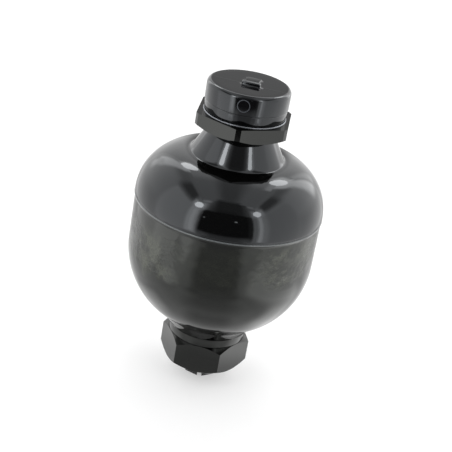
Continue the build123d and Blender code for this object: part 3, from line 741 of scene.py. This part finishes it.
def turned_metal(name, colour, roughness, rings_apart):
    """A bright metal with rings this far apart, in millimetres, and stains 6 mm across."""
    material, shader = new_material(name, colour, roughness, metallic=1.0)
    place = add_node(material, "ShaderNodeTexCoord").outputs["Object"]
    axes = add_node(material, "ShaderNodeSeparateXYZ", links={"Vector": place})
    flat = add_node(
        material,
        "ShaderNodeCombineXYZ",
        links={"X": axes.outputs["X"], "Y": axes.outputs["Y"]},
    )
    reach = add_node(
        material, "ShaderNodeVectorMath", {"operation": "LENGTH"}, {0: flat.outputs[0]}
    )
    along = add_node(
        material,
        "ShaderNodeCombineXYZ",
        links={"X": reach.outputs["Value"], "Y": axes.outputs["Z"]},
    )
    rings = add_node(
        material,
        "ShaderNodeTexNoise",
        {"Scale": scale_for(rings_apart), "Detail": 3},
        {"Vector": along.outputs[0]},
    )
    stains = add_node(
        material,
        "ShaderNodeTexNoise",
        {"Scale": scale_for(6.25), "Detail": 4},
        {"Vector": place},
    )
    worn = add_node(
        material,
        "ShaderNodeMapRange",
        {
            "From Min": 0.3,
            "From Max": 0.7,
            "To Min": roughness - 0.06,
            "To Max": roughness + 0.1,
        },
        {"Value": stains.outputs["Fac"]},
    )
    cuts = add_node(
        material,
        "ShaderNodeBump",
        {"Strength": 0.25, "Distance": 0.04 * MM},
        {"Height": rings.outputs["Fac"]},
    )
    material.node_tree.links.new(worn.outputs["Result"], shader.inputs["Roughness"])
    material.node_tree.links.new(cuts.outputs["Normal"], shader.inputs["Normal"])
    return material


steel = turned_metal("turned_steel", "#bfbfbd", 0.28, rings_apart=0.19231)
coat(["gas_stem", "port_body", "anti_extrusion_ring", "poppet", "brake_nut"], steel)

# ---- springs ----------------------------------------------------------------------------
# Coiled from drawn wire, which is duller and darker than the turned parts. Each stands on a
# fixed seat under its valve. The die's marks are finer than the 0.1 mm that they are drawn
# at.
spring_wire = turned_metal("drawn_spring_wire", "#aeaeb0", 0.36, rings_apart=0.11111)
for node_name, joint_name in (
    ("poppet_spring", "poppet_slide"),
    ("valve_pin_spring", "pin_slide"),
):
    deselect_all()
    coil = bpy.data.objects.new(node_name + "_coil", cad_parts[node_name].data.copy())
    bpy.context.scene.collection.objects.link(coil)
    coil.select_set(True)
    bpy.context.view_layer.objects.active = coil
    bpy.ops.object.mode_set(mode="EDIT")
    bpy.ops.mesh.select_all(action="SELECT")
    bpy.ops.mesh.remove_doubles(threshold=0.001 * MM)
    bpy.ops.mesh.normals_make_consistent(inside=False)
    bpy.ops.object.mode_set(mode="OBJECT")
    finish_piece(coil, spring_wire, smooth_deg=60)
    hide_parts(node_name)
    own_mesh(coil)

# ---- brass ------------------------------------------------------------------------------
# The gas valve, its pin, its seal cap and the damping bush are turned from brass, which is
# yellow and slightly dulled, with the same rings as the steel.
brass = turned_metal("turned_brass", "#dcb877", 0.26, rings_apart=0.19231)
coat(["gas_valve_body", "valve_pin", "valve_seal_cap", "damping_bush"], brass)

# ---- rubber -----------------------------------------------------------------------------
# The bladder, the ring seals and the pin's disc are moulded black nitrile rubber: nearly
# matt, with a dusty bloom in clouds 11 mm across. Its skin is finer than the 0.7 mm that it
# is drawn at, so that it shows.
rubber, rubber_shader = new_material("nitrile_rubber", "#202020", 0.62)
place = add_node(rubber, "ShaderNodeTexCoord").outputs["Object"]
bloom = add_node(
    rubber,
    "ShaderNodeTexNoise",
    {"Scale": scale_for(11.111), "Detail": 4},
    {"Vector": place},
)
bloomed = add_node(
    rubber, "ShaderNodeMix", {"data_type": "RGBA"}, {"Factor": bloom.outputs["Fac"]}
)
bloomed.inputs["A"].default_value = linear("#1a1a1a")
bloomed.inputs["B"].default_value = linear("#2b2a29")
rubber.node_tree.links.new(bloomed.outputs["Result"], rubber_shader.inputs["Base Color"])
hide = add_node(
    rubber,
    "ShaderNodeTexNoise",
    {"Scale": scale_for(0.66667), "Detail": 3},
    {"Vector": place},
)
hide_bump = add_node(
    rubber,
    "ShaderNodeBump",
    {"Strength": 0.3, "Distance": 0.06 * MM},
    {"Height": hide.outputs["Fac"]},
)
rubber.node_tree.links.new(hide_bump.outputs["Normal"], rubber_shader.inputs["Normal"])
coat(
    ["bladder", "body_o_ring", "gas_valve_o_ring", "port_o_ring", "valve_pin_seal"],
    rubber,
)

# ---- PTFE -------------------------------------------------------------------------------
# The back-up rings and the washer under the gas neck are turned from white PTFE. It is
# off-white and waxy, and its sheen changes every 1.7 mm.
ptfe, ptfe_shader = new_material("white_ptfe", "#e4e2da", 0.38, ior=1.35)
place = add_node(ptfe, "ShaderNodeTexCoord").outputs["Object"]
wax = add_node(
    ptfe,
    "ShaderNodeTexNoise",
    {"Scale": scale_for(1.6667), "Detail": 2},
    {"Vector": place},
)
waxy = add_node(
    ptfe,
    "ShaderNodeMapRange",
    {"To Min": 0.3, "To Max": 0.5},
    {"Value": wax.outputs["Fac"]},
)
ptfe.node_tree.links.new(waxy.outputs["Result"], ptfe_shader.inputs["Roughness"])
coat(["body_backup_ring", "stem_washer", "port_backup_ring"], ptfe)

# ---- floor and light tent ---------------------------------------------------------------
# A white sheet on the table and a box of lit cloth round it. Lamps glow through its corners,
# and a dark opening in the front lets the camera in.
SHEET_GLOW, ROOM_GLOW = 0.42, 1.5

floor_material, floor_shader = new_material("white_sheet", "#bcbcbc", 0.9)
floor_shader.inputs["Emission Color"].default_value = linear("#ffffff")
floor_shader.inputs["Emission Strength"].default_value = SHEET_GLOW
deselect_all()
bpy.ops.mesh.primitive_plane_add(size=8)
floor = bpy.context.object
floor.name = "floor"
floor.data.materials.append(floor_material)


def lit_cloth(name, low, high, strength, patches, see_through=False):
    """A flat cloth between two corners, lit evenly apart from soft-edged patches, each given
    by its middle, its half sizes, how soft its edge is, all in metres, and its strength. A
    see-through cloth glows in its patches only."""
    deselect_all()
    bpy.ops.mesh.primitive_plane_add(size=2)
    sheet = bpy.context.object
    sheet.name = name
    middle = [(low[i] + high[i]) / 2 for i in range(3)]
    half = [(high[i] - low[i]) / 2 for i in range(3)]
    flat = half.index(0)
    sides = [Vector((half[0], 0, 0)), Vector((0, half[1], 0)), Vector((0, 0, half[2]))]
    across, up = sides[:flat] + sides[flat + 1 :]
    facing = across.cross(up).normalized()
    sheet.matrix_world = Matrix(
        [(across[i], up[i], facing[i], middle[i]) for i in range(3)] + [(0, 0, 0, 1)]
    )
    bpy.ops.object.transform_apply(location=True, rotation=True, scale=True)
    cloth = bpy.data.materials.new(name)
    cloth.use_nodes = True
    nodes = cloth.node_tree.nodes
    nodes.remove(nodes["Principled BSDF"])
    place = add_node(cloth, "ShaderNodeTexCoord").outputs["Object"]
    glow = add_node(cloth, "ShaderNodeValue").outputs[0]
    glow.default_value = strength
    clear = add_node(cloth, "ShaderNodeValue").outputs[0]
    clear.default_value = 1
    for centre, reach, soft, level in patches:
        away = add_node(
            cloth, "ShaderNodeVectorMath", {"operation": "SUBTRACT"}, {0: place}
        )
        away.inputs[1].default_value = centre
        apart = add_node(
            cloth, "ShaderNodeVectorMath", {"operation": "ABSOLUTE"}, {0: away.outputs[0]}
        )
        # by number: 6 is the value, 7 and 8 its limits, and 9 and 10 what they turn into
        inside = add_node(
            cloth,
            "ShaderNodeMapRange",
            {"data_type": "FLOAT_VECTOR", "interpolation_type": "SMOOTHSTEP"},
        )
        cloth.node_tree.links.new(apart.outputs[0], inside.inputs[6])
        inside.inputs[7].default_value = [size - soft / 2 for size in reach]
        inside.inputs[8].default_value = [size + soft / 2 for size in reach]
        inside.inputs[9].default_value = (1, 1, 1)
        inside.inputs[10].default_value = (0, 0, 0)
        parts = add_node(cloth, "ShaderNodeSeparateXYZ", links={0: inside.outputs[1]})
        edge = add_node(
            cloth,
            "ShaderNodeMath",
            {"operation": "MULTIPLY"},
            {0: parts.outputs[0], 1: parts.outputs[1]},
        )
        mask = add_node(
            cloth,
            "ShaderNodeMath",
            {"operation": "MULTIPLY"},
            {0: edge.outputs[0], 1: parts.outputs[2]},
        )
        # by number: 0 is how much, 2 what lies outside the patch and 3 what lies in it
        blend = add_node(cloth, "ShaderNodeMix", links={0: mask.outputs[0], 2: glow})
        blend.inputs[3].default_value = level
        glow = blend.outputs[0]
        if see_through:
            left = add_node(cloth, "ShaderNodeMix", links={0: mask.outputs[0], 2: clear})
            left.inputs[3].default_value = 0
            clear = left.outputs[0]
    surface = add_node(cloth, "ShaderNodeEmission", links={"Strength": glow}).outputs[0]
    if see_through:
        nothing = add_node(cloth, "ShaderNodeBsdfTransparent").outputs[0]
        surface = add_node(
            cloth, "ShaderNodeMixShader", links={0: clear, 1: surface, 2: nothing}
        ).outputs[0]
    cloth.node_tree.links.new(surface, nodes["Material Output"].inputs["Surface"])
    sheet.data.materials.append(cloth)
    sheet.visible_camera = False
    return sheet


SIDE, FRONT, BACK, TOP = 0.22, -0.28, 0.32, 0.54
lit_cloth(
    "front_cloth",
    (-SIDE, FRONT, 0),
    (SIDE, FRONT, TOP),
    0.21,
    [
        ((-0.22, FRONT, 0.54), (0.10, 1, 0.25), 0.13, 1.45),
        ((0.22, FRONT, 0.54), (0.075, 1, 0.25), 0.12, 1.15),
        ((0, FRONT, 0.30), (0.06, 1, 0.04), 0.05, 0.15),
        ((0, FRONT, 0.19), (0.147, 1, 0.115), 0.02, 0.055),
        ((0.155, FRONT, 0.19), (0.02, 1, 0.11), 0.02, 0.14),
        ((0, FRONT, 0), (0.147, 1, 0.074), 0.035, 0.46),
        ((-0.13, FRONT, 0), (0.045, 1, 0.06), 0.05, 0.9),
        ((0.14, FRONT, 0), (0.045, 1, 0.055), 0.05, 0.75),
        ((-0.235, FRONT, 0.18), (0.077, 1, 0.20), 0.045, 2.3),
        ((-0.235, FRONT, 0.20), (0.055, 1, 0.17), 0.05, 3.9),
        ((0.235, FRONT, 0.16), (0.067, 1, 0.17), 0.02, 1.5),
        ((0.235, FRONT, 0.18), (0.028, 1, 0.18), 0.03, 2.6),
        ((-0.195, FRONT, 0.36), (0.05, 1, 0.06), 0.06, 3.2),
        ((0.205, FRONT, 0.365), (0.035, 1, 0.05), 0.05, 2.6),
        ((0.057, FRONT, 0.222), (0.006, 1, 0.004), 0.005, 4.5),
        ((-0.122, FRONT, 0.215), (0.005, 1, 0.005), 0.005, 2.5),
        ((-0.17, FRONT, 0.48), (0.035, 1, 0.03), 0.04, 2.4),
        ((0.20, FRONT, 0.51), (0.04, 1, 0.03), 0.04, 1.9),
    ],
)
lit_cloth(
    "left_cloth",
    (-SIDE, FRONT, 0),
    (-SIDE, BACK, TOP),
    1.65,
    [
        ((-SIDE, 0.15, 0), (1, 0.17, 0.15), 0.06, 1.4),
        ((-SIDE, -0.16, 0.15), (1, 0.12, 0.17), 0.03, 2.1),
        ((-SIDE, 0.04, 0.54), (1, 0.20, 0.17), 0.10, 1.0),
        ((-SIDE, -0.11, 0.415), (1, 0.10, 0.075), 0.09, 0.4),
        ((-SIDE, 0, 0.54), (1, 0.30, 0.055), 0.05, 1.15),
        ((-SIDE, -0.28, 0.18), (1, 0.04, 0.16), 0.04, 3.3),
        ((-SIDE, -0.27, 0.365), (1, 0.055, 0.05), 0.05, 3.2),
        ((-SIDE, 0.21, 0.36), (1, 0.055, 0.13), 0.05, 3.2),
        ((-SIDE, 0.24, 0.50), (1, 0.07, 0.06), 0.06, 3.4),
        ((-SIDE, 0.20, 0.22), (1, 0.035, 0.05), 0.04, 2.5),
    ],
)
lit_cloth(
    "right_cloth",
    (SIDE, FRONT, 0),
    (SIDE, BACK, TOP),
    1.8,
    [
        ((SIDE, 0.15, 0), (1, 0.17, 0.17), 0.06, 1.5),
        ((SIDE, -0.14, 0.15), (1, 0.12, 0.16), 0.04, 1.55),
        ((SIDE, 0.02, 0.54), (1, 0.20, 0.17), 0.10, 0.95),
        ((SIDE, -0.11, 0.41), (1, 0.10, 0.065), 0.09, 0.45),
        ((SIDE, 0, 0.54), (1, 0.30, 0.065), 0.05, 1.25),
        ((SIDE, -0.26, 0.18), (1, 0.06, 0.18), 0.05, 2.15),
        ((SIDE, -0.28, 0.18), (1, 0.035, 0.18), 0.03, 3.5),
        ((SIDE, -0.265, 0.365), (1, 0.06, 0.045), 0.05, 2.8),
        ((SIDE, 0.22, 0.33), (1, 0.06, 0.16), 0.06, 3.5),
        ((SIDE, 0.24, 0.48), (1, 0.10, 0.08), 0.06, 3.8),
    ],
)
lit_cloth(
    "back_cloth",
    (-SIDE, BACK, 0),
    (SIDE, BACK, TOP),
    1.45,
    [
        ((0, BACK, 0), (1, 1, 0.13), 0.08, 1.1),
        ((0, BACK, 0), (1, 1, 0.04), 0.04, 0.85),
        ((0.22, BACK, 0.28), (0.04, 1, 0.12), 0.04, 2.1),
        ((0, BACK, 0.24), (0.075, 1, 0.15), 0.05, 0.42),
        ((0, BACK, 0.46), (0.08, 1, 0.05), 0.04, 2.4),
        ((-0.20, BACK, 0.51), (0.055, 1, 0.045), 0.05, 3),
        ((0.19, BACK, 0.49), (0.05, 1, 0.06), 0.05, 3.5),
    ],
)
lit_cloth(
    "top_cloth",
    (-SIDE, FRONT, TOP),
    (SIDE, BACK, TOP),
    1.2,
    [
        ((0, 0.22, TOP), (1, 0.12, 1), 0.12, 1.65),
        ((0, -0.02, TOP), (0.07, 0.24, 1), 0.09, 0.6),
        ((0, -0.28, TOP), (0.10, 0.035, 1), 0.05, 0.4),
        ((0.20, 0.16, TOP), (0.03, 0.09, 1), 0.04, 2.7),
        ((-0.20, 0.29, TOP), (0.04, 0.04, 1), 0.04, 3.4),
    ],
)
# the lamps' heads shine through the cloth at its corners
for lamp, centre, size, strength in (
    ("front_left", (-0.193, -0.262, 0.350), 0.033, 11),
    ("front_right", (0.203, -0.258, 0.356), 0.029, 9),
    ("back_left", (-0.185, 0.255, 0.49), 0.050, 8),
    ("back_right", (0.185, 0.235, 0.475), 0.050, 8),
):
    deselect_all()
    bpy.ops.mesh.primitive_uv_sphere_add(radius=size, location=centre, scale=(1, 1, 1.2))
    head = bpy.context.object
    head.name = lamp + "_head"
    bpy.ops.object.shade_smooth()
    bulb = bpy.data.materials.new(head.name)
    bulb.use_nodes = True
    bulb.node_tree.nodes.remove(bulb.node_tree.nodes["Principled BSDF"])
    shine = add_node(bulb, "ShaderNodeEmission", {"Strength": strength}).outputs[0]
    bulb.node_tree.links.new(shine, bulb.node_tree.nodes["Material Output"].inputs["Surface"])
    head.data.materials.append(bulb)
    head.visible_camera = False
# seen in the gloss only: the sheet is less lit at the opening, and more beside the lamps
SHEEN_Z = 0.8 * MM
sheen = lit_cloth(
    "sheet_sheen",
    (-SIDE, FRONT, SHEEN_Z),
    (SIDE, BACK, SHEEN_Z),
    0.5,
    [
        ((0.17, -0.07, 0), (0.06, 0.14, 1), 0.08, 1.95),
        ((-0.175, -0.135, 0), (0.055, 0.045, 1), 0.06, 1.9),
        ((-0.19, -0.24, 0), (0.05, 0.05, 1), 0.06, 2.1),
        ((0, 0.26, 0), (0.25, 0.10, 1), 0.08, 0.85),
        ((0.085, 0.0, 0), (0.045, 0.04, 1), 0.05, 1.8),
        ((-0.075, 0.0, 0), (0.03, 0.04, 1), 0.04, 1.3),
        ((0, -0.055, 0), (0.03, 0.02, 1), 0.03, 0.6),
        ((0, -0.135, 0), (0.055, 0.045, 1), 0.06, 0.66),
        ((0, -0.20, 0), (0.09, 0.05, 1), 0.05, 0.55),
        ((0, -0.25, 0), (0.11, 0.04, 1), 0.05, 0.45),
    ],
    see_through=True,
)
sheen.visible_diffuse = False
sheen.visible_shadow = False

world = bpy.data.worlds.new("room")
bpy.context.scene.world = world
world.use_nodes = True
background = world.node_tree.nodes["Background"]
background.inputs["Color"].default_value = (1, 1, 1, 1)
background.inputs["Strength"].default_value = ROOM_GLOW
bpy.context.scene.view_settings.view_transform = "Standard"

# ---- camera -----------------------------------------------------------------------------
# It looks down at the front from above the cap, and is rolled by about ten degrees. Its
# place and its aim are in metres, and its lens and sensor in millimetres.
CAMERA_PLACE = Vector((0, -0.6471, 0.4164))
CAMERA_AIM = Vector((0.00087, 0, 0.10669))
CAMERA_ROLL = radians(10.146)

camera_data = bpy.data.cameras.new("camera")
camera_data.sensor_width = 36
camera_data.lens = 90.82
camera = bpy.data.objects.new("camera", camera_data)
bpy.context.scene.collection.objects.link(camera)
bpy.context.scene.camera = camera
look = (CAMERA_AIM - CAMERA_PLACE).normalized()
level = look.cross(Vector((0, 0, 1))).normalized()
across = level * cos(CAMERA_ROLL) + level.cross(look) * sin(CAMERA_ROLL)
turn = Matrix((across, across.cross(look), -look)).transposed().to_4x4()
camera.matrix_world = Matrix.Translation(CAMERA_PLACE) @ turn
